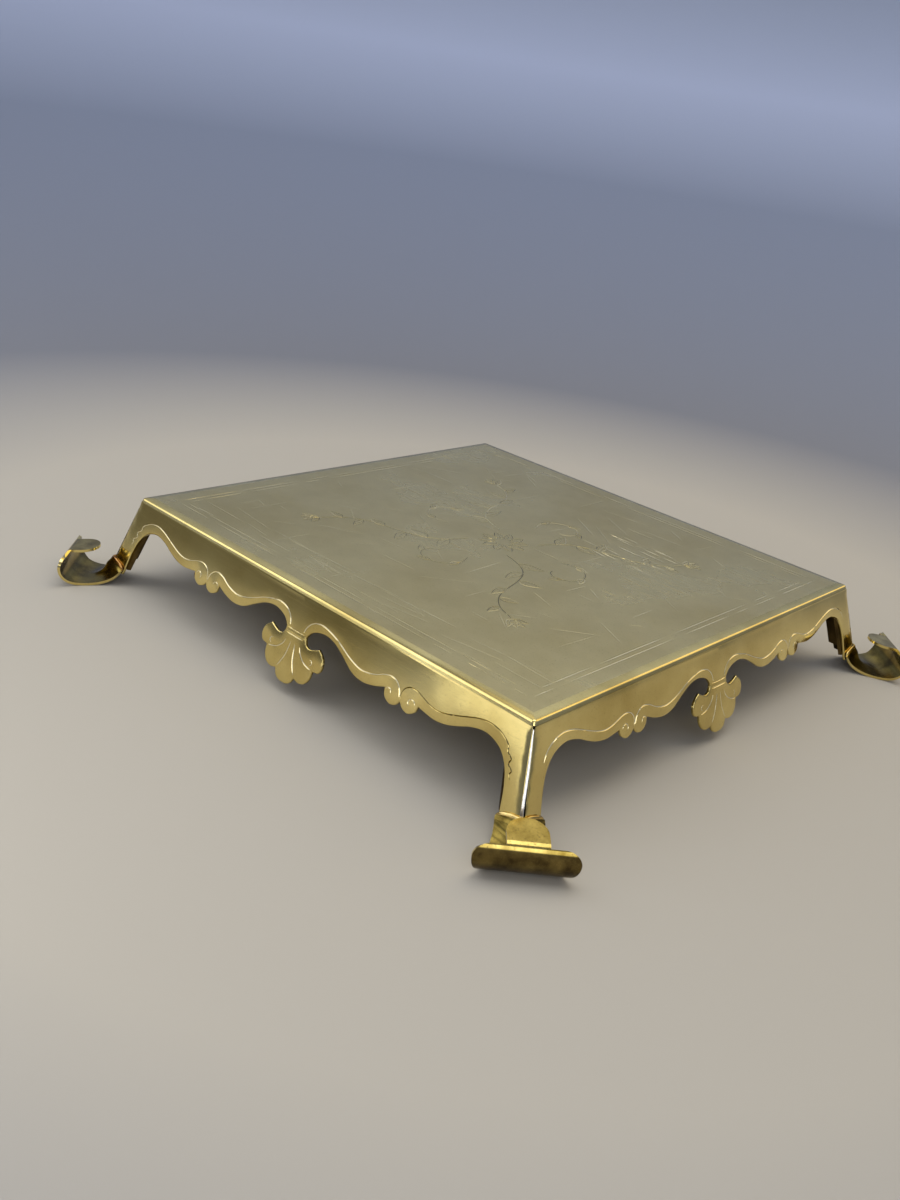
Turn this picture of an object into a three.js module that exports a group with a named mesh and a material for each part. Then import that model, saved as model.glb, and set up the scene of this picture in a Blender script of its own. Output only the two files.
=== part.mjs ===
// A brass trivet: a square engraved top on four sloped side panels with a cut-out lower edge,
// a folded strip behind each corner seam, and four strip feet that turn outward in a scroll.
//
// Frame: millimetres, +Z up, the table at z = 0, the middle of the trivet at x = y = 0.
// The front panel faces -Y and the right panel faces +X.

import * as THREE from 'three';

// Driving dimensions, in millimetres and degrees.
const topSide = 230; // side of the square top, at its upper face
const overallHeight = 41; // table to upper face
const solderGap = 0.3; // film of solder between two pieces, left open here

const plateThickness = 2;
const plateEdgeRadius = 1.2; // rounding of the plate's upper edge

const apronThickness = 1.2;
const apronSlope = 16; // degrees that each side panel leans outward
const seamWidthTop = 0.7; // open seam between two panels, below the plate
const seamWidthFoot = 2.2; // the same seam, at the flange ends
const flangeWidth = 9.4; // width of a flange at its end
const flangeTuck = 0.4; // how far the flanges reach below the start of a foot's bend

// The lower edge of a panel. Depths are measured down its slope from the upper edge.
const legArchInset = 16.5; // top of the arch beside a flange, in from the plate's edge
const legArchDepth = 12.4;
const waveDepth = 18.4; // lowest point between that arch and the drops
const dropPairPlace = 59; // middle of a pair of drops, from the middle of the panel
const dropPairWidth = 17.4;
const dropNotchDepth = 17.4; // notches on both sides of a pair of drops
const dropDepth = 22.1;
const bellyDepth = 20.4; // lowest point between the drops and the shell
const shellArchReach = 8.3; // top of the arch beside the shell, out from the shell's neck
const shellArchDepth = 12.1;
const shellNeckDepth = 18; // where the shell hangs from the panel
const shellNeckWidth = 12.4;
const shellHornReach = 12.2; // how far the shell spreads on each side of its neck
const shellHeight = 20.1;

const stripThickness = 1; // folded strip behind each seam
const stripLeg = 7; // half the strip's width, across the corner
const stripEndAbove = 2.4; // from the ends of the flanges up to the end of the strip

const footThickness = 1.2;
const footLapLength = 3.8; // how far a foot's upper end runs up the corner from the bend
const lapRoundShare = 0.8; // share of the lap that the rounding of its end takes off the edges
const ankleWidth = 16.5; // across the lapped end, from edge to edge
const scrollRadius = 8.4; // of the foot's bend, at the middle of the sheet
const barWidth = 35; // widest part of the foot
const barLean = 12; // degrees that the bar leans back inward above the scroll
const barStraight = 1; // length of the bar that is straight
const barCornerReach = 5.5; // how far the rounding at each end of the bar reaches in
const rollRadius = 2.6; // of the bar's upper edge as it rolls back into the tab
const barRoll = 36; // degrees of the roll before the edge of the bar beside the tab
const tabWidth = 14;
const tabRise = 7; // degrees that the folded tab rises as it runs inward
const tabStraight = 4; // length of the tab before its half-round end
const tabRoundShare = 0.86; // how much of the half-round is there: it stops short of a point

// How finely curves are divided.
const curveSteps = 3; // pieces between two points of an outline
const plateEdgeSteps = 4;
const ankleSteps = 6; // from the ankle to the sole
const scrollSteps = 7; // from the sole to the widest place
const rollSteps = 2; // from the bar's edge to the tab
const roundSteps = 5;
const sideColumns = 2; // strips of faces outside the tab's width
const middleColumns = 6; // strips of faces within the tab's width

const slope = THREE.MathUtils.degToRad(apronSlope);
const halfTop = topSide / 2;
// Outward travel of the corner line for each millimetre of height, along the diagonal.
const cornerSpread = Math.SQRT2 * Math.tan(slope);
// Travel along the diagonal that moves a panel's face by one millimetre square to itself.
const diagonalPerNormal = Math.SQRT2 / Math.cos(slope);
// The way down the corner, as a heading in the upright plane through the diagonal.
const ankleHeading = Math.atan(cornerSpread) - Math.PI / 2;
const scrollMiddleHeight = scrollRadius + footThickness / 2;
const bendHeight = scrollMiddleHeight - scrollRadius * Math.cos(ankleHeading);
// Depth at which the corner flanges stop, just below the start of the feet's bend.
const flangeEnd = (overallHeight - bendHeight) / Math.cos(slope) + flangeTuck;

const polishedBrass = { color: 0xc9a94e, roughness: 0.28, metalness: 1 };
const satinBrass = { color: 0xa39a72, roughness: 0.42, metalness: 1 };
const footBrass = { color: 0xb08d3a, roughness: 0.35, metalness: 1 };

function namedMesh(name, geometry, finish) {
  const mesh = new THREE.Mesh(geometry, new THREE.MeshStandardMaterial(finish));
  mesh.name = name;
  return mesh;
}

// The plate is a profile turned in four steps, so its sides follow the panels' slope and
// its upper edge is rounded. The profile holds half-sides, which become corner radii.
function makeTopPlate() {
  const lowerHalf = halfTop + plateThickness * Math.tan(slope);
  const arcInset = (plateEdgeRadius * (1 - Math.sin(slope))) / Math.cos(slope);
  const arcMiddle = new THREE.Vector2(halfTop - arcInset, plateThickness - plateEdgeRadius);
  const profile = [new THREE.Vector2(0, 0), new THREE.Vector2(lowerHalf, 0)];
  for (let step = 0; step <= plateEdgeSteps; step += 1) {
    const angle = slope + ((Math.PI / 2 - slope) * step) / plateEdgeSteps;
    const reach = new THREE.Vector2(Math.cos(angle), Math.sin(angle));
    profile.push(arcMiddle.clone().addScaledVector(reach, plateEdgeRadius));
  }
  profile.push(new THREE.Vector2(0, plateThickness));
  const turned = profile.map((point) => new THREE.Vector2(point.x * Math.SQRT2, point.y));
  const plate = namedMesh(
    'top_plate',
    new THREE.LatheGeometry(turned, 4, Math.PI / 4),
    satinBrass,
  );
  plate.rotation.x = Math.PI / 2;
  plate.position.z = overallHeight - plateThickness;
  return plate;
}

// Distance from the middle of a panel to its mitred end, at a depth measured down the slope.
function panelEnd(depth) {
  const share = depth / flangeEnd;
  const seam = THREE.MathUtils.lerp(seamWidthTop, seamWidthFoot, share);
  return halfTop + depth * Math.sin(slope) - seam / Math.SQRT2;
}

// Points of one curve of the lower edge. Each pair is the share of the way from one place to
// another, across the panel and in depth.
function curvePoints(from, to, pairs) {
  const { lerp } = THREE.MathUtils;
  return pairs.map(([across, down]) => [lerp(from[0], to[0], across), lerp(from[1], to[1], down)]);
}

// The right half of a panel's lower edge, from the flange to the middle, as separate curves
// that meet in the sharp notches. Each point is the distance from the panel's middle and the
// depth below the top edge, measured down the slope.
function lowerEdgeCurves() {
  const flangeInside = [panelEnd(flangeEnd) - flangeWidth, flangeEnd];
  const legArch = [halfTop - legArchInset, legArchDepth];
  const outerNotch = [dropPairPlace + dropPairWidth / 2, dropNotchDepth];
  const dropMiddle = [dropPairPlace, dropNotchDepth];
  const innerNotch = [dropPairPlace - dropPairWidth / 2, dropNotchDepth];
  const shellNeck = [shellNeckWidth / 2, shellNeckDepth];
  const shellArch = [shellNeck[0] + shellArchReach, shellArchDepth];
  const hornTip = [shellNeck[0] + shellHornReach, shellNeckDepth + shellHeight];

  const leg = [
    ...curvePoints(flangeInside, legArch, [[0, 0], [0.07, 0.28], [0.15, 0.49], [0.3, 0.73],
      [0.58, 0.92]]),
    ...curvePoints(legArch, [outerNotch[0], waveDepth], [[0, 0], [0.21, 0.18], [0.37, 0.53],
      [0.55, 0.87], [0.72, 1], [0.87, 0.93]]),
    outerNotch,
  ];
  const outerDrop = curvePoints(outerNotch, [dropPairPlace, dropDepth],
    [[0, 0], [0.1, 0.55], [0.46, 0.94], [0.8, 0.77], [1, 0.4]]);
  const innerDrop = curvePoints(dropMiddle, [innerNotch[0], dropDepth],
    [[0, 0.4], [0.2, 0.85], [0.54, 1], [0.88, 0.64], [1, 0]]);
  const belly = [
    innerNotch,
    ...curvePoints([innerNotch[0], shellArchDepth], [shellArch[0], bellyDepth],
      [[0.14, 0.87], [0.31, 1], [0.48, 0.88], [0.66, 0.45], [0.83, 0.1]]),
    ...curvePoints(shellArch, shellNeck, [[0, 0], [0.67, 0.27], [0.99, 0.71], [1, 1]]),
  ];
  const hook = curvePoints(shellNeck, hornTip,
    [[0, 0], [0.1, 0.09], [0.33, 0.105], [0.66, 0.02]]);
  const horn = curvePoints(shellNeck, hornTip,
    [[0.66, 0.02], [0.92, 0.14], [1, 0.31], [0.9, 0.45], [0.64, 0.49]]);
  const sideLobe = curvePoints(shellNeck, hornTip,
    [[0.64, 0.49], [0.61, 0.65], [0.44, 0.79], [0.2, 0.84], [-0.05, 0.81]]);
  const middleLobe = [
    sideLobe[sideLobe.length - 1],
    ...curvePoints(shellNeck, [0, hornTip[1]], [[0.3, 0.93], [0.65, 0.99], [1, 1]]),
  ];
  return [leg, outerDrop, innerDrop, belly, hook, horn, sideLobe, middleLobe];
}

// The right half of the lower edge as one run of points, with every curve rounded.
function lowerEdgePoints() {
  const points = [];
  for (const curve of lowerEdgeCurves()) {
    const corners = curve.map(([across, depth]) => new THREE.Vector2(across, depth));
    const spline = new THREE.SplineCurve(corners);
    points.push(...spline.getPoints((curve.length - 1) * curveSteps).slice(0, -1));
  }
  points.push(new THREE.Vector2(0, shellNeckDepth + shellHeight));
  return points;
}

// A side panel in its own plane: x across, y up the slope from the fold line, and the outer
// face at z = 0. Its inner face is pulled in at both ends, to the mitre.
function makePanelGeometry() {
  const topDepth = (plateThickness + solderGap) / Math.cos(slope);
  const rightHalf = lowerEdgePoints();
  const leftHalf = rightHalf.slice(0, -1).reverse()
    .map((point) => new THREE.Vector2(-point.x, point.y));
  const outline = [
    new THREE.Vector2(panelEnd(topDepth), topDepth),
    new THREE.Vector2(panelEnd(flangeEnd), flangeEnd),
    ...rightHalf,
    ...leftHalf,
    new THREE.Vector2(-panelEnd(flangeEnd), flangeEnd),
    new THREE.Vector2(-panelEnd(topDepth), topDepth),
  ];
  const shape = new THREE.Shape(outline.map((point) => new THREE.Vector2(point.x, -point.y)));
  const geometry = new THREE.ExtrudeGeometry(shape, { depth: apronThickness, bevelEnabled: false });
  geometry.translate(0, 0, -apronThickness);

  const position = geometry.attributes.position;
  for (let index = 0; index < position.count; index += 1) {
    const inset = -position.getZ(index) * Math.cos(slope);
    const limit = panelEnd(-position.getY(index)) - inset;
    const across = position.getX(index);
    position.setX(index, THREE.MathUtils.clamp(across, -limit, limit));
  }
  return geometry;
}

function makeApron(name) {
  const apron = namedMesh(name, makePanelGeometry(), polishedBrass);
  apron.rotation.x = Math.PI / 2 - slope;
  apron.position.set(0, -halfTop, overallHeight);
  return apron;
}

// The folded strip behind the front left seam. Its section is a right angle in the
// horizontal plane, and it runs down along the corner line.
function makeCornerStrip(name) {
  const nose = -(apronThickness + solderGap) * diagonalPerNormal;
  const inside = nose - stripThickness * diagonalPerNormal;
  const section = new THREE.Shape([
    new THREE.Vector2(nose, 0),
    new THREE.Vector2(nose - stripLeg, stripLeg),
    new THREE.Vector2(inside - stripLeg, stripLeg),
    new THREE.Vector2(inside, 0),
    new THREE.Vector2(inside - stripLeg, -stripLeg),
    new THREE.Vector2(nose - stripLeg, -stripLeg),
  ]);
  // Depth under the plate becomes height, with the outward spread of the corner line.
  const stripTop = plateThickness + solderGap;
  const stripLength = flangeEnd * Math.cos(slope) - stripEndAbove - stripTop;
  const geometry = new THREE.ExtrudeGeometry(section, { depth: stripLength, bevelEnabled: false });
  const alongCorner = new THREE.Matrix4().set(
    1, 0, -cornerSpread, cornerSpread * (stripTop + stripLength),
    0, 1, 0, 0,
    0, 0, 1, -stripTop - stripLength,
    0, 0, 0, 1,
  );
  geometry.applyMatrix4(alongCorner);
  return placedAtCorner(namedMesh(name, geometry, polishedBrass), overallHeight);
}

// Turns a mesh whose x runs outward along the diagonal to the front left corner.
function placedAtCorner(mesh, height) {
  mesh.rotation.z = (-3 * Math.PI) / 4;
  mesh.position.set(-halfTop, -halfTop, height);
  return mesh;
}

// The middle line of a foot in the upright plane through the diagonal of its corner: x is the
// distance out from the plate's corner, y is the height. Each stretch is straight or an arc,
// with its length and its headings at both ends.
function footStretches() {
  const barHeading = THREE.MathUtils.degToRad(90 + barLean);
  const edgeHeading = barHeading + THREE.MathUtils.degToRad(barRoll);
  const tabHeading = THREE.MathUtils.degToRad(180 - tabRise);
  const stretch = (length, from, to) => ({ length, from, to });
  const arc = (radius, from, to) => stretch(radius * (to - from), from, to);
  return {
    lap: stretch(footLapLength, ankleHeading, ankleHeading),
    ankle: arc(scrollRadius, ankleHeading, 0),
    scroll: arc(scrollRadius, 0, Math.PI / 2),
    upperScroll: arc(scrollRadius, Math.PI / 2, barHeading),
    bar: stretch(barStraight, barHeading, barHeading),
    edgeRoll: arc(rollRadius, barHeading, edgeHeading),
    tabRoll: arc(rollRadius, edgeHeading, tabHeading),
    tab: stretch(tabStraight + tabWidth / 2, tabHeading, tabHeading),
  };
}

// The point that a walk along the stretches reaches after a distance.
function pointAlong(stretches, distance) {
  const ridgeOffset = (solderGap + footThickness / 2) * diagonalPerNormal;
  const lapHeight = bendHeight - footLapLength * Math.sin(ankleHeading);
  const point = new THREE.Vector2(cornerSpread * (overallHeight - lapHeight) + ridgeOffset, lapHeight);
  let left = distance;
  for (const { length, from, to } of Object.values(stretches)) {
    const step = Math.min(left, length);
    if (from === to) {
      point.x += step * Math.cos(from);
      point.y += step * Math.sin(from);
    } else {
      const radius = length / (to - from);
      const reached = from + step / radius;
      point.x += radius * (Math.sin(reached) - Math.sin(from));
      point.y -= radius * (Math.cos(reached) - Math.cos(from));
    }
    left -= step;
  }
  return point;
}

// The rows of a foot. Each holds a point of the middle line, half the strip's width, half the
// width of its middle band, the fold (1 where the edges lie back along the flanges, 0 where
// the strip is flat across), and how far down the corner its edges are moved.
function footRows() {
  const stretches = footStretches();
  const lengthOf = (...names) => names.reduce((sum, name) => sum + stretches[name].length, 0);
  const lapEnd = lengthOf('lap');
  const sole = lapEnd + lengthOf('ankle');
  const widest = sole + lengthOf('scroll');
  const barEdge = widest + lengthOf('upperScroll', 'bar', 'edgeRoll');
  const tabStart = barEdge + lengthOf('tabRoll');
  const { smoothstep, lerp, clamp } = THREE.MathUtils;
  const quarter = Math.PI / 2;

  const rows = [];
  const addRow = (distance, half, bandHalf, drop = 0) => rows.push({
    point: pointAlong(stretches, distance),
    half,
    bandHalf,
    fold: clamp((sole - distance) / (sole - lapEnd), 0, 1),
    drop,
  });
  const addFootRow = (distance, drop) => {
    const half = lerp(ankleWidth, barWidth, smoothstep(distance, lapEnd, widest)) / 2;
    addRow(distance, half, lerp(half / 2, tabWidth / 2, smoothstep(distance, 0, widest)), drop);
  };
  addFootRow(0, footLapLength * lapRoundShare);
  for (let step = 0; step < ankleSteps; step += 1) addFootRow(lerp(lapEnd, sole, step / ankleSteps));
  for (let step = 0; step < scrollSteps; step += 1) addFootRow(lerp(sole, widest, step / scrollSteps));
  for (let step = 0; step <= roundSteps; step += 1) {
    const angle = quarter * (step / roundSteps);
    const half = barWidth / 2 - barCornerReach * (1 - Math.cos(angle));
    addRow(lerp(widest, barEdge, Math.sin(angle)), half, tabWidth / 2);
  }
  const edgeRow = rows.length - 1;
  for (let step = 1; step <= rollSteps; step += 1) {
    addRow(lerp(barEdge, tabStart, step / rollSteps), tabWidth / 2, tabWidth / 2);
  }
  for (let step = 0; step <= roundSteps; step += 1) {
    const angle = quarter * tabRoundShare * (step / roundSteps);
    const half = (tabWidth / 2) * Math.cos(angle);
    addRow(tabStart + tabStraight + (tabWidth / 2) * Math.sin(angle), half, half);
  }
  return { rows, edgeRow };
}

// The middle surface of a foot as a grid of points: x outward along the diagonal, y across,
// z up. The columns outside the tab's width end at the bar's edge.
function footGrid() {
  const { rows, edgeRow } = footRows();
  const shares = [];
  for (let step = 0; step < sideColumns; step += 1) shares.push([-1, step / sideColumns]);
  for (let step = 0; step <= middleColumns; step += 1) shares.push([0, -1 + (2 * step) / middleColumns]);
  for (let step = sideColumns - 1; step >= 0; step -= 1) shares.push([1, step / sideColumns]);
  const grid = rows.map(({ point, half, bandHalf, fold, drop }) => shares.map(([side, share]) => {
    const across = side === 0 ? share * bandHalf : side * THREE.MathUtils.lerp(half, bandHalf, share);
    const down = drop * (across / half) ** 2;
    return new THREE.Vector3(
      point.x - fold * Math.abs(across) + down * Math.cos(ankleHeading),
      across,
      point.y + down * Math.sin(ankleHeading),
    );
  }));
  const hasCell = (row, column) => row >= 0 && row < rows.length - 1
    && column >= 0 && column < shares.length - 1
    && (row < edgeRow || (column >= sideColumns && column < sideColumns + middleColumns));
  return { grid, hasCell };
}

// A closed sheet of even thickness on both sides of a grid of points. Cells that are missing
// from the grid are left open, and every free edge gets a wall.
function thickSheet({ grid, hasCell }, thickness) {
  const rowCount = grid.length;
  const columnCount = grid[0].length;
  const touches = (row, column) => [[0, 0], [0, -1], [-1, 0], [-1, -1]]
    .some(([down, left]) => hasCell(row + down, column + left));
  const pick = (row, column, fallback) => (
    row >= 0 && row < rowCount && column >= 0 && column < columnCount && touches(row, column)
      ? grid[row][column] : fallback);
  const vertices = [];
  const places = grid.map((line, row) => line.map((point, column) => {
    if (!touches(row, column)) return null;
    const along = pick(row + 1, column, point).clone().sub(pick(row - 1, column, point));
    const across = pick(row, column + 1, point).clone().sub(pick(row, column - 1, point));
    const normal = across.cross(along).normalize().multiplyScalar(thickness / 2);
    vertices.push(point.clone().add(normal), point.clone().sub(normal));
    return vertices.length - 2;
  }));

  const faces = [];
  const addQuad = (a, b, c, d) => faces.push(a, b, c, a, c, d);
  for (let row = 0; row < rowCount - 1; row += 1) {
    for (let column = 0; column < columnCount - 1; column += 1) {
      if (!hasCell(row, column)) continue;
      const near = places[row][column];
      const right = places[row][column + 1];
      const far = places[row + 1][column + 1];
      const left = places[row + 1][column];
      addQuad(near, right, far, left);
      addQuad(near + 1, left + 1, far + 1, right + 1);
      if (!hasCell(row - 1, column)) addQuad(right, near, near + 1, right + 1);
      if (!hasCell(row + 1, column)) addQuad(left, far, far + 1, left + 1);
      if (!hasCell(row, column - 1)) addQuad(near, left, left + 1, near + 1);
      if (!hasCell(row, column + 1)) addQuad(far, right, right + 1, far + 1);
    }
  }
  const geometry = new THREE.BufferGeometry();
  geometry.setFromPoints(vertices);
  geometry.setIndex(faces);
  geometry.computeVertexNormals();
  return geometry;
}

function makeFoot(name) {
  return placedAtCorner(namedMesh(name, thickSheet(footGrid(), footThickness), footBrass), 0);
}

// Four equal sides, each turned a quarter further round: the panel on the side, and the
// corner at the left end of that panel.
const sideNames = ['front', 'right', 'back', 'left'];
const cornerNames = ['front_left', 'front_right', 'back_right', 'back_left'];

const trivet = new THREE.Group();
trivet.add(makeTopPlate());
sideNames.forEach((sideName, index) => {
  const side = new THREE.Group();
  side.rotation.z = (index * Math.PI) / 2;
  side.add(makeApron(`apron_${sideName}`));
  side.add(makeCornerStrip(`corner_strip_${cornerNames[index]}`));
  side.add(makeFoot(`foot_${cornerNames[index]}`));
  trivet.add(side);
});

export default trivet;
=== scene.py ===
import math

import bmesh
import bpy
import numpy as np
from mathutils import Matrix, Vector, geometry


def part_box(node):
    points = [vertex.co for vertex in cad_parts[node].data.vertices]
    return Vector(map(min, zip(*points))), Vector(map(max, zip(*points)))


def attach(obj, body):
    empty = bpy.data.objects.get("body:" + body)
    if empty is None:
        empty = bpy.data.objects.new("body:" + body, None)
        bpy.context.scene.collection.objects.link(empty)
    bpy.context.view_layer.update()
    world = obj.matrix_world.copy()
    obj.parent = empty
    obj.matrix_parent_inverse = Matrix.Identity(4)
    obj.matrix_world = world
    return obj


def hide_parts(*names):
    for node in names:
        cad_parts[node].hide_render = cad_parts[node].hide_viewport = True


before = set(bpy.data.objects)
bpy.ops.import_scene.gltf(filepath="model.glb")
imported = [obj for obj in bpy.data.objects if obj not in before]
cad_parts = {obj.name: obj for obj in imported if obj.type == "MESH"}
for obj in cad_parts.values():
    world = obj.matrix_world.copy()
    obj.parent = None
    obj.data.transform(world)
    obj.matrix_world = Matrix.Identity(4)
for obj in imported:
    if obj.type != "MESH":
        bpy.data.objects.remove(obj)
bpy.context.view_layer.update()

# ---------------------------------------------------------------------------------------------
# The top plate: a square of brass sheet, hammered flat and scraped smooth, with its upper edge
# rounded over. Its face is engraved with a double border line and leafy sprays, both worn thin
# by years of rubbing, and it is soldered down on the four side panels.

MM = 0.001
TOP_HALF = 115.0  # half the side of the square, at its upper face
PLATE_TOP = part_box("top_plate")[1].z / MM
PLATE_THICKNESS = 2.0
PLATE_EDGE_RADIUS = 1.2
PLATE_CORNER_RADIUS = 1.9
LEAST_CORNER_RADIUS = 0.1
LOWER_CHAMFER = 0.015  # how far the underside is set in, and how high its chamfer is
CHAMFER_TOP_INSET = 0.004
MARGIN_WIDTH = 4.2  # hammering left this margin falling away to the edge
MARGIN_SLOPE = math.radians(10)  # at the edge, and level at the margin's inner side
MARGIN_STEPS = 8
SLOPE = math.radians(16)  # lean of the side panels, which the plate's edge follows
ARC_STEPS = 5  # faces around a quarter of a rounded edge
CORNER_STEPS = 8  # faces around a corner of the plate
UPPER_LATTICE = 8.0  # spacing of the points between the engraved lines
LOWER_LATTICE = 16.0
LATTICE_CLEARANCE = 0.25  # kept between them and the lines, as a share of the spacing
WELD_DISTANCE = 2e-7

BORDER_INSETS = (10.9, 13.7)  # the two engraved border lines, from the edge
BORDER_WIDTH = 0.42
BORDER_TAPER = 9
CORNER_GAP = 0.2
WORN_GAP = 1.6  # half of a gap where a border line is worn away
SHORTEST_STRETCH = 9
WHOLE_STRETCH = 34  # a border line is whole for this far before its right corner
SPRAY_WIDTH = 0.6
WORN_CUT = 0.17  # depth of a worn line, as a share of its width
FRESH_CUT = 0.5
STRAIGHT_POINTS = 6  # points along a straight line
SCRATCH_LIMIT = 108  # scratches end this far from the middle of the plate

chance = np.random.default_rng(41)


def smooth_line(points, steps):
    """Points on the curve through the given ones. Each stretch is the cubic whose slope at a
    point is half the way between that point's two neighbours."""
    known = np.asarray(points, float)
    padded = np.vstack([known[:1], known, known[-1:]])
    before, start, end, after = (padded[k : len(padded) - 3 + k, None] for k in range(4))
    slope_in, slope_out = (end - before) / 2, (after - start) / 2
    way = np.linspace(0, 1, steps, endpoint=False)[:, None]
    curve = (
        (2 * start - 2 * end + slope_in + slope_out) * way**3
        + (3 * end - 3 * start - 2 * slope_in - slope_out) * way**2
        + slope_in * way
        + start
    )
    return np.vstack([curve.reshape(-1, 2), known[-1:]])


def engraved_line(points, width, taper=2.0, steps=4, tone=1.0):
    """A path, its width at each point and its tone. The width is full in the middle, and falls
    to nothing over the taper at both ends, as the square root of the way. A tone of 1 is a line
    dark with dirt, and -1 is one pale with dried polish and a painted highlight."""
    if len(points) > 2:
        path = smooth_line(points, steps)
    else:
        path = np.linspace(*np.asarray(points, float), STRAIGHT_POINTS)
    run = np.concatenate([[0], np.cumsum(np.linalg.norm(np.diff(path, axis=0), axis=1))])
    from_end = np.minimum(run, run[-1] - run)
    return path, width * np.sqrt(np.clip(from_end / min(taper, run[-1] / 2), 0, 1)), tone


def is_inside(points, outline):
    """Even-odd rule: a point is inside when a ray to the right of it crosses the outline an odd
    number of times."""
    x, y = points[:, None, 0], points[:, None, 1]
    (x0, y0), (x1, y1) = outline.T, np.roll(outline, -1, 0).T
    rise = np.where(y1 == y0, 1e-12, y1 - y0)
    crossings = ((y0 > y) != (y1 > y)) & (x < x0 + (x1 - x0) * (y - y0) / rise)
    return crossings.sum(1) % 2 == 1


def cut_face(outline, lines, spacing, steepness=FRESH_CUT):
    """A flat face inside an outline, as points (x, y, depth of cut, tone) and triangles. Each
    engraved line is a V: its path lies steepness times its width below the face, between two
    borders at half a width to each side. A square lattice of points fills the rest."""
    uncut = np.zeros(len(outline))
    points, levels, tones = [outline], [uncut], [uncut]
    count = len(outline)
    edges = [np.stack([np.arange(count), np.roll(np.arange(count), -1)], 1)]
    for path, width, tone in lines:
        ahead = np.gradient(path, axis=0)
        ahead /= np.linalg.norm(ahead, axis=1, keepdims=True)
        side = np.stack([-ahead[:, 1], ahead[:, 0]], 1) * width[:, None] / 2
        inner = slice(1, -1)
        uncut = np.zeros(2 * len(path) - 4)
        points += [path, path[inner] + side[inner], path[inner] - side[inner]]
        levels += [-steepness * width, uncut]
        tones += [tone * (width > 0), uncut]
        middle = count + np.arange(len(path))
        for first in (middle[-1] + 1, middle[-1] + len(path) - 1):
            border = np.r_[middle[0], first + np.arange(len(path) - 2), middle[-1]]
            edges.append(np.stack([border[:-1], border[1:]], 1))
        edges.append(np.stack([middle[:-1], middle[1:]], 1))
        count += 3 * len(path) - 4
    fixed = np.vstack(points)
    ticks = [
        np.arange(low + spacing / 2, high, spacing)
        for low, high in zip(outline.min(0), outline.max(0))
    ]
    lattice = np.stack(np.meshgrid(*ticks), -1).reshape(-1, 2)
    lattice = lattice[is_inside(lattice, outline)]
    nearest = np.array([np.min(((fixed - point) ** 2).sum(1)) for point in lattice])
    lattice = lattice[nearest >= (LATTICE_CLEARANCE * spacing) ** 2]
    uncut = np.zeros(len(lattice))
    level = np.column_stack([np.concatenate([*part, uncut]) for part in (levels, tones)])
    found, _, triangles, origins, _, _ = geometry.delaunay_2d_cdt(
        [Vector(point) for point in np.vstack([fixed, lattice])],
        np.vstack(edges).tolist(),
        [],
        0,
        1e-5,
        True,
    )
    found = np.array([tuple(point) for point in found])
    deepest = [min(origin, key=lambda k: level[k, 0]) if origin else -1 for origin in origins]
    level = np.vstack([level, [0, 0]])[deepest]
    triangles = np.array(triangles)
    triangles = triangles[is_inside(found[triangles].mean(1), outline)]
    return np.column_stack([found, level]), triangles


def loop_faces(rows, columns):
    """Four-sided faces of a grid of rows, each a ring of columns."""
    row, column = np.meshgrid(np.arange(rows - 1), np.arange(columns), indexing="ij")
    right = (column + 1) % columns
    near, far = row * columns, (row + 1) * columns
    return np.stack([near + column, near + right, far + right, far + column], -1).reshape(-1, 4)


def make_piece(name, points, faces, cut=None, hard=26):
    """A mesh object from points in millimetres. Points that coincide are merged, and edges that
    turn by more than the hard angle stay sharp."""
    mesh = bpy.data.meshes.new(name)
    mesh.from_pydata((np.asarray(points) * MM).tolist(), [], faces)
    if cut is not None:
        tones = mesh.attributes.new("cut", "FLOAT", "POINT")
        tones.data.foreach_set("value", np.asarray(cut, np.float32))
    work = bmesh.new()
    work.from_mesh(mesh)
    bmesh.ops.remove_doubles(work, verts=work.verts, dist=WELD_DISTANCE)
    bmesh.ops.recalc_face_normals(work, faces=work.faces)
    work.to_mesh(mesh)
    work.free()
    mesh.shade_smooth()
    mesh.set_sharp_from_angle(angle=math.radians(hard))
    piece = bpy.data.objects.new(name, mesh)
    bpy.context.scene.collection.objects.link(piece)
    return piece


def even_shading(piece):
    """Large faces set the shading of the small ones beside them."""
    shading = piece.modifiers.new("Shading", "WEIGHTED_NORMAL")
    shading.keep_sharp = True
    shading.mode = "FACE_AREA_WITH_ANGLE"


def round_square(half, corner):
    """A square with round corners, counterclockwise: four quarter circles of points."""
    angle = np.linspace(0, np.pi / 2, CORNER_STEPS + 1) + np.arange(4)[:, None] * np.pi / 2
    middle = np.array([[1, 1], [-1, 1], [-1, -1], [1, -1]])[:, None] * (half - corner)
    return (middle + corner * np.stack([np.cos(angle), np.sin(angle)], -1)).reshape(-1, 2)


def plate_sag(x, y, reach):
    """The plate is dished by 0.16 mm and gently wavy: a dish with sine waves on it, times two
    parabolas that fall to nothing at the reach."""
    inside = np.clip(1 - (x / reach) ** 2, 0, 1) * np.clip(1 - (y / reach) ** 2, 0, 1)
    waves = np.sin(x / 17 + 1.1) * np.sin(y / 21 - 0.4) + np.sin((x + y) / 26)
    return inside * (-0.16 + 0.035 * waves)


def leaf(root, heading, length, fullness):
    """Two bowed lines from a leaf's root to its tip, and a midrib between them."""
    ahead = np.array([math.cos(heading), math.sin(heading)])
    aside = np.array([-ahead[1], ahead[0]])
    way = np.array([0, 0.3, 0.65, 1.0])[:, None]
    swell = np.array([0, 1.0, 0.75, 0])[:, None]
    curl = 0.16 * length * way**2
    spine = root + length * way * ahead
    sides = [spine + (curl + sign * fullness * length * swell) * aside for sign in (1, -1)]
    rib = spine[:3] + curl[:3] * aside
    return [(sides[0], 1.0), (sides[1], 0.9), (rib, 0.6)]


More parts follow.
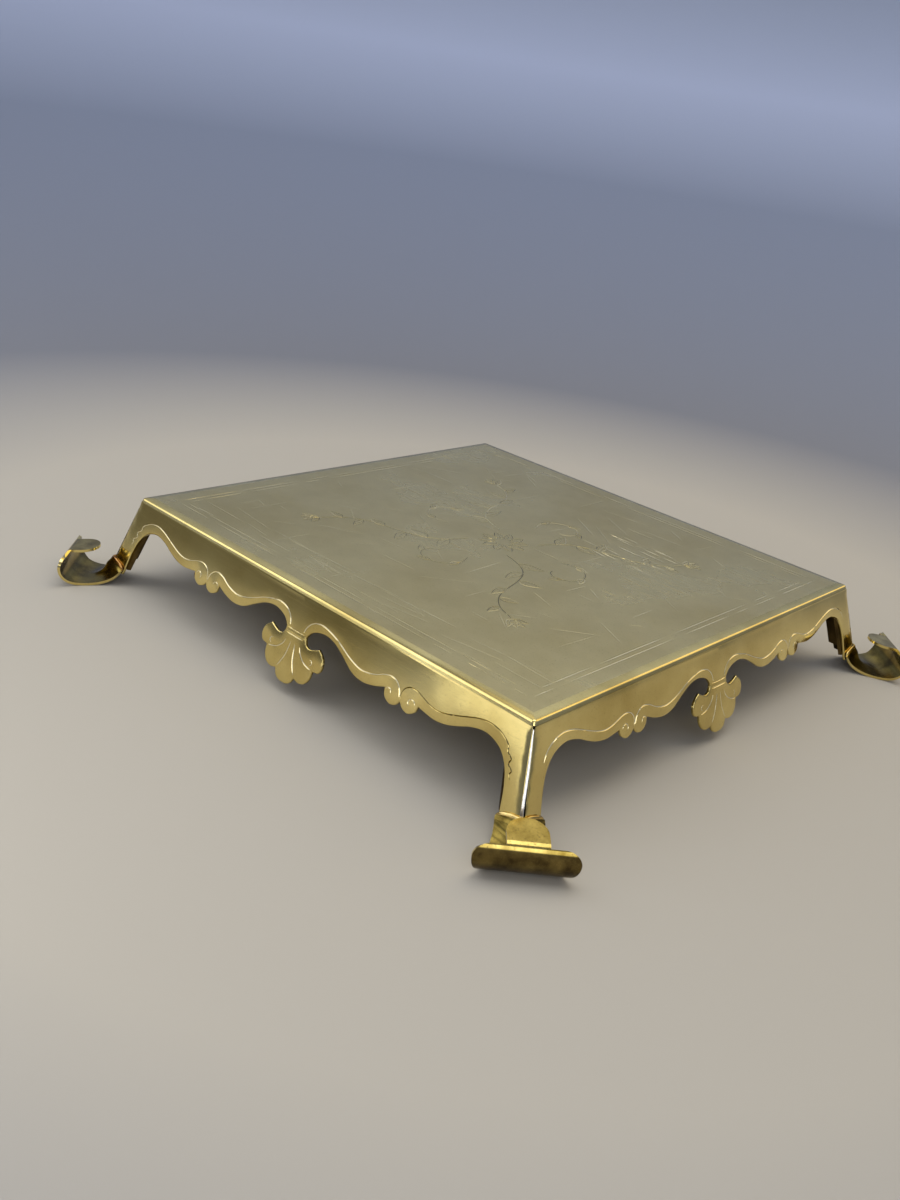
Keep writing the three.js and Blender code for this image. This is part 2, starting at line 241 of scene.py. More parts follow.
def spray_lines():
    """One spray in the direction of a corner: an S-shaped stem with leaves on both sides and a
    bud at its end, and a C-scroll that springs from its foot."""
    reach = np.linspace(15, 84, 8)
    stem = np.stack([reach, 6.5 * np.sin((reach - 15) / 11.5)], 1)
    lines = [(stem, 1.1)]
    for place, side in zip(range(1, 8), (1, -1, 1, -1, 1, -1, 1)):
        lines += leaf(stem[place], side * 0.95, 13.5 - 0.9 * place, 0.2)
    for heading in (-0.45, 0, 0.45):
        lines += leaf(stem[-1], heading, 8.5, 0.17)
    turn = np.linspace(0, 1.65 * np.pi, 9)
    size = 13 * (1 - 0.13 * turn)
    scroll = np.stack([30 - size * np.cos(turn), 24 + size * np.sin(turn)], 1)
    lines.append((scroll, 1.0))
    for place in (1, 3, 5):
        lines += leaf(scroll[place], 1.1 - 0.55 * place, 7.0, 0.22)
    return lines


def border_lines(inset):
    """The border line of one side, in stretches: the wear has taken parts of it away."""
    reach = TOP_HALF - inset
    gaps = np.sort(chance.uniform(-reach, reach, 6))
    ends = np.r_[-reach + CORNER_GAP, gaps, reach - CORNER_GAP]
    kept = [
        (start + WORN_GAP, end - WORN_GAP)
        for start, end in zip(ends[:-1], ends[1:])
        if end - start > SHORTEST_STRETCH
    ]
    worn = [([(a, -reach), (b, -reach)], chance.uniform(0.7, 1.0)) for a, b in kept]
    whole = ([(reach - WHOLE_STRETCH, -reach), (reach - CORNER_GAP, -reach)], 1.0)
    return worn + [whole]


def turned(points, quarter):
    """The same points after so many quarter turns round the upright middle line."""
    angle = quarter * math.pi / 2
    turn = np.array([[math.cos(angle), -math.sin(angle)], [math.sin(angle), math.cos(angle)]])
    flat = np.asarray(points, float)
    return np.column_stack([flat[:, :2] @ turn.T, flat[:, 2:]])


plate_lines = []
for quarter in range(4):
    polish_and_painted_glint = -1.0 if quarter == 1 else -0.5  # most of the dried polish and painted highlight is in the lines on the right
    for inset in BORDER_INSETS:
        plate_lines += [
            engraved_line(
                turned(points, quarter), BORDER_WIDTH * strength, BORDER_TAPER, tone=polish_and_painted_glint
            )
            for points, strength in border_lines(inset)
        ]
    diagonal = math.pi / 4 + quarter * math.pi / 2
    cosine, sine = math.cos(diagonal), math.sin(diagonal)
    aim = np.array([[cosine, sine], [-sine, cosine]])
    plate_lines += [
        engraved_line(
            points @ aim,
            SPRAY_WIDTH * strength * chance.uniform(0.6, 1.0),
            steps=5,
            tone=chance.choice([1.0, 0.8, -0.4]),
        )
        for points, strength in spray_lines()
    ]
for petal in range(10):
    heading = petal * math.pi / 5
    root = 3.4 * np.array([math.cos(heading), math.sin(heading)])
    plate_lines += [
        engraved_line(points, SPRAY_WIDTH * strength, tone=0.9)
        for points, strength in leaf(root, heading, 8.5, 0.24)
    ]
# Scratches, each a middle, a heading, a reach to both sides and a strength. They lie anywhere,
# along the front edge where pots are dragged off, and in one rubbed patch.
scratches = [
    (chance.uniform(-92, 92, 2), chance.choice([0.05, 0.75, 1.5, 2.6]), chance.uniform(3, 14), 1.0)
    for _ in range(90)
]
scratches += [
    ((chance.uniform(-95, 95), chance.uniform(-105, -84)), 0.0, chance.uniform(9, 34), 1.0)
    for _ in range(26)
]
scratches += [
    (chance.uniform((20, 28), (64, 62)), -0.05, chance.uniform(3, 9), 2.4) for _ in range(26)
]
for middle, heading, reach, strength in scratches:
    heading += chance.normal(0, 0.09 / strength)
    way = np.array([math.cos(heading), math.sin(heading)])
    ray = min(reach, SCRATCH_LIMIT - np.abs(middle).max()) * way
    width = strength * chance.uniform(0.12, 0.24)
    # Scratches are pale: dried polish and a painted highlight.
    polish_and_painted_glint = -chance.uniform(min(0.4 * strength, 0.9), 1.0)
    ends = [middle - ray, middle + ray]
    plate_lines.append(engraved_line(ends, width, 5 / strength, tone=polish_and_painted_glint))

# The plate's edge is a profile (half the side, height) carried round the square: up the slope
# from the underside, round the upper edge, then up the margin as the square of the way to the
# flat.
lower_half = TOP_HALF + PLATE_THICKNESS * math.tan(SLOPE)
edge_round = np.linspace(SLOPE, math.pi / 2 - MARGIN_SLOPE, ARC_STEPS + 1)
edge_middle = TOP_HALF - PLATE_EDGE_RADIUS * (1 - math.sin(SLOPE)) / math.cos(SLOPE)
round_half = edge_middle + PLATE_EDGE_RADIUS * np.cos(edge_round)
round_rise = PLATE_EDGE_RADIUS * (np.sin(edge_round) - math.cos(MARGIN_SLOPE))
margin_drop = MARGIN_WIDTH * math.tan(MARGIN_SLOPE) / 2
margin_way = np.linspace(0, 1, MARGIN_STEPS + 1)[1:]
margin_half = edge_middle + PLATE_EDGE_RADIUS * math.sin(MARGIN_SLOPE) - MARGIN_WIDTH * margin_way
edge_half = np.r_[
    lower_half - LOWER_CHAMFER, lower_half - CHAMFER_TOP_INSET, round_half, margin_half
]
edge_height = np.r_[
    0,
    LOWER_CHAMFER,
    PLATE_THICKNESS - margin_drop + round_rise,
    PLATE_THICKNESS - margin_drop * (1 - margin_way) ** 2,
]
rings = [
    round_square(half, max(PLATE_CORNER_RADIUS - (lower_half - half), LEAST_CORNER_RADIUS))
    for half in edge_half
]
ring_size = len(rings[0])
edge = np.column_stack([np.vstack(rings), np.repeat(edge_height, ring_size)])
upper, upper_faces = cut_face(rings[-1], plate_lines, UPPER_LATTICE, WORN_CUT)
lower, lower_faces = cut_face(rings[0], [], LOWER_LATTICE)
flat_half = margin_half[-1]
upper_height = PLATE_THICKNESS + upper[:, 2] + plate_sag(upper[:, 0], upper[:, 1], flat_half)
lower_height = plate_sag(lower[:, 0], lower[:, 1], flat_half)
upper_points = np.column_stack([upper[:, :2], upper_height])
lower_points = np.column_stack([lower[:, :2], lower_height])
plate_points = np.vstack([edge, upper_points, lower_points])
plate_faces = (
    loop_faces(len(rings), ring_size).tolist()
    + (upper_faces + len(edge)).tolist()
    + (lower_faces[:, ::-1] + len(edge) + len(upper)).tolist()
)
plate_cut = np.r_[np.zeros(len(edge)), upper[:, 3], np.zeros(len(lower))]
plate_points = plate_points + [0, 0, PLATE_TOP - PLATE_THICKNESS]
top_plate = make_piece("engraved_plate", plate_points, plate_faces, plate_cut)
even_shading(top_plate)

# Sizes in the old brass, in metres, and its colours beside the metal's own.
SPECK_SIZE = 0.0008
SWELL_SIZE = 0.022
HAIRLINES = ((0.2, 0.00022, 0.02), (1.25, 0.0002, 0.016), (2.35, 0.00024, 0.024))
HAIRLINE_SHARE = 0.33  # of the noise that makes them
# The pale colour of the lines is dried polish and a painted highlight.
SPECK_COLOUR, DIRT_COLOUR, POLISH_AND_PAINTED_GLINT_COLOUR = "6E5B34", "2E2C1E", "F4F0DC"


def linear(hex_colour):
    """The linear colour of an sRGB hex value."""
    share = np.array([int(hex_colour[k : k + 2], 16) / 255 for k in (0, 2, 4)])
    return (*np.where(share <= 0.04045, share / 12.92, ((share + 0.055) / 1.055) ** 2.4), 1.0)


def add(material, kind, inputs=None, **settings):
    """Adds a shader node of a kind with its settings. An input is a value, or the output that it
    is linked to."""
    node = material.node_tree.nodes.new("ShaderNode" + kind)
    for key, value in settings.items():
        setattr(node, key, value)
    for key, value in (inputs or {}).items():
        if isinstance(value, bpy.types.NodeSocket):
            material.node_tree.links.new(value, node.inputs[key])
        else:
            node.inputs[key].default_value = value
    return node


def new_material(name):
    material = bpy.data.materials.new(name)
    material.use_nodes = True
    material.node_tree.nodes.clear()
    return material


def finish_material(material, **inputs):
    """Puts the metal's shader on the material. A metal keeps the default IOR."""
    named = {key.replace("_", " "): value for key, value in inputs.items()}
    shader = add(material, "BsdfPrincipled", named)
    add(material, "OutputMaterial", {"Surface": shader.outputs["BSDF"]})
    return material


def hairlines(material, place, heading, width, length):
    """Fine straight scratches in one direction: noise that is stretched along them, and kept
    only where it is strongest. Returns a socket that is 1 in a scratch."""
    scale = (1 / length, 1 / width, 1 / width)
    lay = add(
        material, "Mapping", {"Vector": place, "Rotation": (0, 0, heading), "Scale": scale}
    ).outputs["Vector"]
    noise = add(
        material, "TexNoise", {"Vector": lay, "Scale": 1.0, "Detail": 1.0, "Roughness": 0.4}
    ).outputs["Fac"]
    return add(
        material,
        "MapRange",
        {"Value": noise, "From Min": 1 - HAIRLINE_SHARE, "From Max": 1.06 - HAIRLINE_SHARE},
    ).outputs["Result"]


def worn_brass(name, bright, dull, smooth, rough, wave, scratch, patch=0.055, pitted=0.25):
    """Old brass that has been polished many times. It gives the eye a yellow mirror, blurred by
    fine scratches that cross, with brown and green tarnish in clouds and darker specks, dirt, or
    dried polish with a painted highlight, in the engraved lines, and a surface that waves a little
    from the hammer."""
    material = new_material(name)
    place = add(material, "TexCoord").outputs["Object"]
    clouds = add(
        material,
        "TexNoise",
        {"Vector": place, "Scale": 1 / patch, "Detail": 4.0, "Roughness": 0.55},
    ).outputs["Fac"]
    tarnish = add(
        material, "MapRange", {"Value": clouds, "From Min": 0.35, "From Max": 0.68}
    ).outputs["Result"]
    specks = add(
        material, "TexNoise", {"Vector": place, "Scale": 1 / SPECK_SIZE, "Detail": 2.0}
    ).outputs["Fac"]
    speck = add(
        material, "MapRange", {"Value": specks, "From Min": 0.6, "From Max": 0.76, "To Max": pitted}
    ).outputs["Result"]
    cut = add(material, "Attribute", attribute_name="cut").outputs["Fac"]
    dirt = add(material, "MapRange", {"Value": cut, "To Max": 0.95}).outputs["Result"]
    # Where the tone is below nothing: pale dried polish and a painted highlight.
    chalk_and_painted_glint = add(
        material, "MapRange", {"Value": cut, "From Max": -1.0, "To Max": 0.8}
    ).outputs["Result"]
    colour = linear(bright)
    coats = [(tarnish, dull), (speck, SPECK_COLOUR), (dirt, DIRT_COLOUR), (chalk_and_painted_glint, POLISH_AND_PAINTED_GLINT_COLOUR)]
    for amount, shade in coats:
        mix = {"Factor": amount, "A": colour, "B": linear(shade)}
        colour = add(material, "Mix", mix, data_type="RGBA").outputs["Result"]
    lines, *others = [hairlines(material, place, *one) for one in HAIRLINES]
    for other in others:
        both = add(material, "Math", {0: lines, 1: other}, operation="MAXIMUM")
        lines = both.outputs["Value"]
    # Dried polish, with its painted highlight, is hardly metal. Tarnish and scratches share in
    # making the metal rougher.
    metal = add(
        material, "Math", {0: chalk_and_painted_glint, 1: -0.8, 2: 1.0}, operation="MULTIPLY_ADD"
    ).outputs["Value"]
    mottled = add(
        material, "Math", {0: tarnish, 1: 0.5, 2: 0.0}, operation="MULTIPLY_ADD"
    ).outputs["Value"]
    dullness = add(
        material, "Math", {0: lines, 1: 0.5, 2: mottled}, operation="MULTIPLY_ADD"
    ).outputs["Value"]
    roughness = add(
        material, "MapRange", {"Value": dullness, "To Min": smooth, "To Max": rough}
    ).outputs["Result"]
    swell = add(
        material, "TexNoise", {"Vector": place, "Scale": 1 / SWELL_SIZE, "Detail": 1.0}
    ).outputs["Fac"]
    hammered = add(
        material, "Bump", {"Height": swell, "Strength": 1.0, "Distance": wave}
    ).outputs["Normal"]
    scoring = {"Height": lines, "Strength": 1.0, "Distance": scratch, "Normal": hammered}
    scored = add(material, "Bump", scoring, invert=True).outputs["Normal"]
    return finish_material(
        material, Base_Color=colour, Metallic=metal, Roughness=roughness, Normal=scored
    )


# Scraped and rubbed brass sheet: a satin, olive-tinged face. Its edge and the panels were
# polished with a cloth: brighter and more golden.
satin_brass = worn_brass(
    "satin_worn_brass_sheet", "DCCC94", "BFB07C", 0.26, 0.42, wave=0.00008, scratch=0.000014
)
polished_brass = worn_brass(
    "polished_brass_sheet", "EEDA92", "C8B26C", 0.12, 0.2, 0.00016, 0.000001, patch=0.04
)
top_plate.data.materials.append(satin_brass)
top_plate.data.materials.append(polished_brass)
# The level face and the underside are satin. The margin, the edge and the cut lines are polished.
LEAST_UP, LEAST_DOWN = 0.9985, -0.9  # upright part of the normal of a satin face
looks = [int(LEAST_DOWN <= face.normal.z <= LEAST_UP) for face in top_plate.data.polygons]
top_plate.data.polygons.foreach_set("material_index", looks)
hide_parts("top_plate")
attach(top_plate, "root")

# ---------------------------------------------------------------------------------------------
# The four side panels: brass sheet sawn to a scrolled lower edge, with a shell in the middle, a
# pair of drops on each side of it and a narrow flange at each end. Its edges are filed round,
# and a line is engraved along the scrolls and between the lobes of the shell. Each panel is
# soldered under the plate and leans outward.

PANEL_THICKNESS = 1.2
FRONT_ROUNDING = 0.4
BACK_ROUNDING = 0.2
# Each panel starts right under the plate, on a thin film of solder.
PANEL_TOP_DEPTHS = (2.085, 2.19, 2.14, 2.1)
FLANGE_END = 36.97
SEAM_AT_TOP = 0.7
SEAM_AT_FOOT = 2.2
OUTLINE_STEPS = 7
FRONT_LATTICE = 1.7
BACK_LATTICE = 6.0
CONTOUR_WIDTH = 0.68
CURL_WIDTH = 0.58
HATCH_WIDTH = 0.26
RIM_WIDTH = 4.6  # the rim beside the sawn edge that is rubbed back
RIM_CURL = 0.26
END_WIDTH = 1.8  # the same beside a seam, on the outside only
END_CURL = 0.45

# The right half of the lower edge, from the flange to the middle: distance from the middle of
# the panel, and depth below the fold, in millimetres. The stretches meet in sharp notches.
LOWER_EDGE = [
    [(115.0, 36.97), (114.4, 36.0), (113.7, 33.4), (113.1, 30.1), (111.9, 24.9), (109.5, 19),
     (105.1, 14.4), (98.5, 12.4), (92, 13.5), (87.1, 15.6), (81.6, 17.6), (76.3, 18.4),
     (71.7, 18), (67.7, 17.4)],
    [(67.7, 17.4), (66.8, 20), (63.7, 21.8), (60.7, 21), (59, 19.3)],
    [(59, 19.3), (57.3, 21.4), (54.3, 22.1), (51.3, 20.4), (50.3, 17.4)],
    [(50.3, 17.4), (45.3, 19.3), (39.2, 20.4), (33.1, 19.4), (26.7, 15.8), (20.6, 12.9),
     (14.5, 12.1), (8.9, 13.7), (6.3, 16.3), (6.2, 18)],
    [(6.2, 18), (7.4, 19.8), (10.2, 20.1), (14.3, 18.4)],
    [(14.3, 18.4), (17.4, 20.8), (18.4, 24.2), (17.2, 27), (14, 27.8)],
    [(14, 27.8), (13.6, 31.1), (11.6, 33.9), (8.6, 34.9), (5.6, 34.3)],
    [(5.6, 34.3), (4.3, 36.7), (2.2, 37.9), (0, 38.1)],
]
CONTOUR_FROM_DROPS = [
    (59.0, 18.2), (58.8, 16.0), (59.8, 13.7), (62.4, 12.2), (65.6, 12.2), (68.8, 13.1),
    (72.4, 14.2), (76.4, 14.6), (80.6, 13.9), (85.2, 12.4), (90, 10.6), (94.4, 9.1),
    (98.9, 8.4), (103, 8.9), (106.4, 10.3), (108.8, 12.0),
]
CONTOUR_PLAIN_END = [(110.4, 13.8), (111.6, 16.0)]
CONTOUR_WAVED_END = [
    (109.3, 14.0), (111.5, 15.6), (111.1, 17.7), (113.1, 19.2), (112.8, 20.8), (113.9, 22.4),
]
CONTOUR_TO_NECK = [
    (58.3, 17.9), (57.6, 15.4), (55.6, 13.2), (52.6, 12.3), (49, 13.0), (45.4, 14.7),
    (41.4, 15.9), (37.2, 16.3), (32.8, 15.4), (28, 13.7), (22.8, 11.4), (17.4, 9.8),
    (12.8, 9.1), (8.8, 9.8), (6.1, 11.6), (4.6, 13.8), (4.2, 15.6),
]
OUTER_DROP_CURL = [(66.3, 17.7), (65.4, 16.3), (63.7, 16.2), (62.8, 17.5), (63.6, 18.9)]
INNER_DROP_CURL = [(51.0, 17.9), (51.9, 16.7), (53.5, 16.9), (54.1, 18.3)]
HORN_LINE = [(4.2, 21.4), (5.4, 23.8), (8.0, 26.1), (11.0, 27.1), (13.0, 27.4)]
HORN_CURL = [(11.6, 26.2), (12.7, 25.3), (12.4, 24.0), (11.2, 23.9)]
LOBE_LINE = [(1.2, 21.2), (1.7, 24.4), (2.5, 28.0), (4.0, 31.3), (5.1, 33.2)]
NECK_BAND = (16.5, 18.7)
NECK_HALF = 5.3


def panel_end(depth):
    """Half the panel's length at a depth: the corner line, less half of the open seam."""
    seam = SEAM_AT_TOP + (SEAM_AT_FOOT - SEAM_AT_TOP) * depth / FLANGE_END
    return TOP_HALF + depth * math.sin(SLOPE) - seam / math.sqrt(2)


def both_halves(points, width, tones=(-1.0, -1.0), **options):
    """The same engraved line on the right and the left half of the panel."""
    across, depth = np.array(points, float).T
    return [
        engraved_line(np.stack([sign * across, -depth], 1), width, tone=tone, **options)
        for sign, tone in zip((1, -1), tones)
    ]


def panel_lines(waved):
    """Everything that is engraved on one panel. The contour ends on the flanges in a waved tail
    or in a plain one. Beside a waved tail on the right, dirt fills it instead of pale polish with a
    painted highlight."""
    tail = CONTOUR_WAVED_END if waved else CONTOUR_PLAIN_END
    width = CONTOUR_WIDTH * (0.8 if waved else 1)
    tones = (0.9 if waved else -1.0, -1.0)
    lines = both_halves(CONTOUR_FROM_DROPS + tail, width, tones, taper=3.5)
    lines += both_halves(CONTOUR_TO_NECK, CONTOUR_WIDTH, taper=1.2)
    curls = [(OUTER_DROP_CURL, 1), (INNER_DROP_CURL, 1), (HORN_LINE, 1.1), (LOBE_LINE, 1.1)]
    for points, share in [*curls, (HORN_CURL, 0.9)]:
        lines += both_halves(points, CURL_WIDTH * share)
    for depth in NECK_BAND:
        band = [(-NECK_HALF, -depth), (NECK_HALF, -depth)]
        lines.append(engraved_line(band, CURL_WIDTH, taper=0.8, tone=-0.8))
    upper, lower = -NECK_BAND[0] - 0.4, -NECK_BAND[1] + 0.4
    for across in np.arange(-4.8, 4.9, 0.8):
        hatch = [(across, upper), (across + 0.15, lower)]
        lines.append(engraved_line(hatch, HATCH_WIDTH, taper=0.4))
    return lines


LOWER_LINE = np.vstack([smooth_line(stretch, 5)[:-1] for stretch in LOWER_EDGE])


def panel_bow(across, depth, out):
    """How far the sheet stands off its plane: it bends back a little towards its lower edge, it
    waves along its length, and its rim curls back as the square of the way to the sawn edge.
    Its outer face is rubbed down beside the seams in the same way."""
    middle = -0.3 * np.clip(depth / 21, 0, 1.25) ** 2
    waves = 0.05 * np.sin(across / 15 + 0.7) * np.clip(depth / 8, 0, 1)
    aside = np.abs(across)[:, None] - LOWER_LINE[:, 0]
    below = depth[:, None] - LOWER_LINE[:, 1]
    from_edge = np.sqrt(np.min(aside**2 + below**2, axis=1))
    rim = -RIM_CURL * np.clip(1 - from_edge / RIM_WIDTH, 0, 1) ** 2
    from_end = panel_end(depth) - np.abs(across)
    outer_share = np.clip(1 + out / PANEL_THICKNESS, 0, 1)
    end = -END_CURL * np.clip(1 - from_end / END_WIDTH, 0, 1) ** 2 * outer_share
    inner_share = np.clip((from_end - 4) / 14, 0, 1)
    edge_share = np.clip((from_end + 3) / 12, 0.2, 1)
    return middle * inner_share + (waves + rim) * edge_share + end * np.clip((depth - 2) / 3, 0, 1)


def moved_in(outline, insets):
    """The outline moved inward along its mitred normals, one copy for each inset."""
    ahead = np.roll(outline, -1, 0) - outline
    ahead /= np.linalg.norm(ahead, axis=1, keepdims=True)
    outward = np.stack([ahead[:, 1], -ahead[:, 0]], 1)
    behind = np.roll(outward, 1, 0)
    mitre = (outward + behind) / np.maximum(1 + (outward * behind).sum(1, keepdims=True), 0.5)
    return outline[None] - np.asarray(insets)[:, None, None] * mitre[None]


def panel_points(across, height, out, quarter):
    """From the panel's own plane to the trivet: across, up the slope, and out from the face."""
    out = out + panel_bow(across, -height, out)
    y = -TOP_HALF + height * math.sin(SLOPE) - out * math.cos(SLOPE)
    z = PLATE_TOP + height * math.cos(SLOPE) + out * math.sin(SLOPE)
    return turned(np.column_stack([across, y, z]), quarter)


def make_panel(name, quarter, waved):
    """One panel. Its edge is a profile (inset, height) carried round the outline: the rounded
    front edge, the sawn wall and the rounded back edge. Towards the seams the back is cut to
    the mitre."""
    stretches = [smooth_line(stretch, OUTLINE_STEPS)[:-1] for stretch in LOWER_EDGE]
    edge = np.vstack([*stretches, LOWER_EDGE[-1][-1:]])
    left = edge[:-1][::-1] * [-1, 1]
    top_depth = PANEL_TOP_DEPTHS[quarter]
    ends = [(panel_end(depth), depth) for depth in np.linspace(top_depth, FLANGE_END, 12)]
    edge = np.vstack([ends, edge[1:], left[:-1], np.array(ends[::-1]) * [-1, 1]])
    outline = (edge * [1, -1])[::-1]
    angle = np.linspace(0, math.pi / 2, ARC_STEPS + 1)
    inset = np.r_[FRONT_ROUNDING * (1 - np.sin(angle)), BACK_ROUNDING * (1 - np.cos(angle))]
    out = np.r_[
        -FRONT_ROUNDING * (1 - np.cos(angle)), BACK_ROUNDING * (1 - np.sin(angle)) - PANEL_THICKNESS
    ]
    rows = moved_in(outline, inset)
    rows[:, outline[:, 1] > -top_depth - 0.01, 1] = -top_depth
    limit = panel_end(-rows[..., 1]) + out[:, None] * math.cos(SLOPE)
    rows[..., 0] = np.clip(rows[..., 0], -limit, limit)
    front, front_faces = cut_face(rows[0], panel_lines(waved), FRONT_LATTICE)
    back, back_faces = cut_face(rows[-1], [], BACK_LATTICE)
    across, height = rows.reshape(-1, 2).T
    rim = panel_points(across, height, np.repeat(out, rows.shape[1]), quarter)
    face = panel_points(front[:, 0], front[:, 1], front[:, 2], quarter)
    rear = panel_points(back[:, 0], back[:, 1], np.full(len(back), out[-1]), quarter)
    faces = (
        loop_faces(len(rows), rows.shape[1]).tolist()
        + (front_faces + len(rim)).tolist()
        + (back_faces[:, ::-1] + len(rim) + len(face)).tolist()
    )
    cut = np.r_[np.zeros(len(rim)), front[:, 3], np.zeros(len(rear))]
    return make_piece(name, np.vstack([rim, face, rear]), faces, cut)


SIDES = ("front", "right", "back", "left")
# The backs were never polished: tarnished, and painted almost black as painted shade inside the
# trivet.
tarnish_and_painted_shade_brass = worn_brass(
    "tarnish_and_painted_shade_brass", "4A3D24", "231C12", 0.42, 0.6, wave=0.00003, scratch=0.000002, patch=0.02
)
for quarter, side in enumerate(SIDES):
    panel = make_panel(f"scrolled_panel_{side}", quarter, waved=side in ("front", "left"))
    even_shading(panel)
    panel.data.materials.append(polished_brass)
    panel.data.materials.append(tarnish_and_painted_shade_brass)
    inward = Vector(turned([[0, math.cos(SLOPE), -math.sin(SLOPE)]], quarter)[0])
    # The backs get the tarnished brass with painted shade.
    is_back = [int(face.normal.dot(inward) > 0.8) for face in panel.data.polygons]
    panel.data.polygons.foreach_set("material_index", is_back)
    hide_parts(f"apron_{side}")
    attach(panel, "root")

# ---------------------------------------------------------------------------------------------
# The corner strips: a folded strip of thin brass behind each open seam, which joins two panels.
# Bright soft solder has run down each seam and lies against the strip.

CORNERS = ("front_left", "front_right", "back_right", "back_left")
SEAM_SOLDER_TOP = 3.2
SEAM_SOLDER_END = 33.6
SEAM_SOLDER_DEPTH = 0.8  # from the panels' outer corner line to the solder's face
SEAM_SOLDER_ROWS = 60
SEAM_SOLDER_COLUMNS = 16


def at_corner(out, across, height, quarter):
    """From the upright plane through a corner's diagonal to the trivet: out from the plate's
    corner along the diagonal, across it, and up."""
    far = TOP_HALF + out / math.sqrt(2)
    near = across / math.sqrt(2)
    return turned(np.column_stack([-far - near, -far + near, height]), quarter)


def smoothstep(value, low, high):
    """From 0 to 1 as three times the square of the way, less twice its cube."""
    way = np.clip((value - low) / (high - low), 0, 1)
    return way * way * (3 - 2 * way)


def make_run(name, points, ring_size):
    """A closed run of metal: rings of points carried along it, with a face at each end."""
    total = len(points)
    ends = [list(range(ring_size))[::-1], list(range(total - ring_size, total))]
    faces = loop_faces(total // ring_size, ring_size).tolist() + ends
    return make_piece(name, points, faces, hard=70)


def make_seam_solder(name, quarter):
    """A run of solder: a flat arch carried down the corner line. It starts as a point, widens
    with the seam, and lower down keeps to one side of it."""
    depth = np.linspace(SEAM_SOLDER_TOP, SEAM_SOLDER_END, SEAM_SOLDER_ROWS)[:, None]
    share = (depth - SEAM_SOLDER_TOP) / (SEAM_SOLDER_END - SEAM_SOLDER_TOP)
    half = 0.12 + 0.5 * share**0.6 + 0.02 * np.sin(depth * 2.1)
    aside = 0.42 * smoothstep(share, 0.4, 0.95)
    angle = np.linspace(0, 2 * np.pi, SEAM_SOLDER_COLUMNS, endpoint=False)
    lean = math.sqrt(2) * math.sin(SLOPE)
    face = lean * depth - SEAM_SOLDER_DEPTH - 0.25 * share
    arch = np.where(np.cos(angle) > 0, 0.12, 0.5) * half * np.cos(angle)
    out = face + arch + 0.01 * np.sin(depth * 3.3)
    across = aside + half * np.sin(angle)
    height = np.repeat(PLATE_TOP - depth * math.cos(SLOPE), SEAM_SOLDER_COLUMNS, 1)
    points = at_corner(out.ravel(), across.ravel(), height.ravel(), quarter)
    return make_run(name, points, SEAM_SOLDER_COLUMNS)


def solder_metal():
    """Tin-lead solder, poured and left as it froze: pale grey-white, smooth with soft ripples."""
    material = new_material("soft_solder")
    place = add(material, "TexCoord").outputs["Object"]
    grain = add(
        material, "TexNoise", {"Vector": place, "Scale": 1 / 0.0022, "Detail": 3.0}
    ).outputs["Fac"]
    mix = {"Factor": grain, "A": linear("FAF8F2"), "B": linear("DCD8CC")}
    colour = add(material, "Mix", mix, data_type="RGBA").outputs["Result"]
    roughness = add(
        material, "MapRange", {"Value": grain, "To Min": 0.18, "To Max": 0.4}
    ).outputs["Result"]
    ripple = add(
        material, "Bump", {"Height": grain, "Strength": 1.0, "Distance": 0.00006}
    ).outputs["Normal"]
    return finish_material(
        material, Base_Color=colour, Metallic=1.0, Roughness=roughness, Normal=ripple
    )


soft_solder = solder_metal()
# Thin brass strip that was never polished: brown from the soldering heat, and tarnished.
strip_brass = worn_brass(
    "unpolished_brass_strip", "5E4C2A", "2E2415", 0.4, 0.56, 0.00003, 0.000004, patch=0.012
)
for quarter, corner in enumerate(CORNERS):
    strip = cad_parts[f"corner_strip_{corner}"]
    strip.data.materials.clear()
    strip.data.materials.append(strip_brass)
    solder = make_seam_solder(f"seam_solder_{corner}", quarter)
    solder.data.materials.append(soft_solder)
    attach(solder, "root")

# ---------------------------------------------------------------------------------------------
# The four feet: each a single brass strip, folded over the two flanges of its corner and brazed
# there. Below the ankle the fold opens out, the strip turns outward in a scroll and widens to
# a bar with round ends, and a half-round tab at its middle is bent back inward.

FOOT_THICKNESS = 1.2
LAP_LENGTH = 4.6
LAP_ROUNDING = 2.6  # the lap's end is rounded: its edges lie this much lower than its middle
LAP_FILED = 3.2  # over this length the lap is filed down to a thin end
LAP_END_SHARE = 0.4
ANKLE_HALF = 8.25
SCROLL_RADIUS = 8.4
BAR_HALF = 17.48
BAR_HEADING = math.radians(102)
BAR_STRAIGHT = 1.0
BAR_CORNER_REACH = 5.5
ROLL_RADIUS = 2.6
BAR_EDGE_HEADING = math.radians(138)
TAB_HALF = 7.0
TAB_HEADING = math.radians(173)
TAB_STRAIGHT = 4.0
SOLDER_FILM = 0.3
FLOOR_FILM = 0.003  # kept between the sole and the floor
PATH_STEP = 0.45
RIDGE_ROUNDING = 0.9
FILED_EDGE = 0.32
BEAD_UP = 0.1  # the bead's middle, above the lap's end and below its middle surface
BEAD_IN = -0.28
BEAD_HALF_HEIGHT = 1.2
BEAD_HALF_DEPTH = 0.52
BEAD_COLUMNS = 14


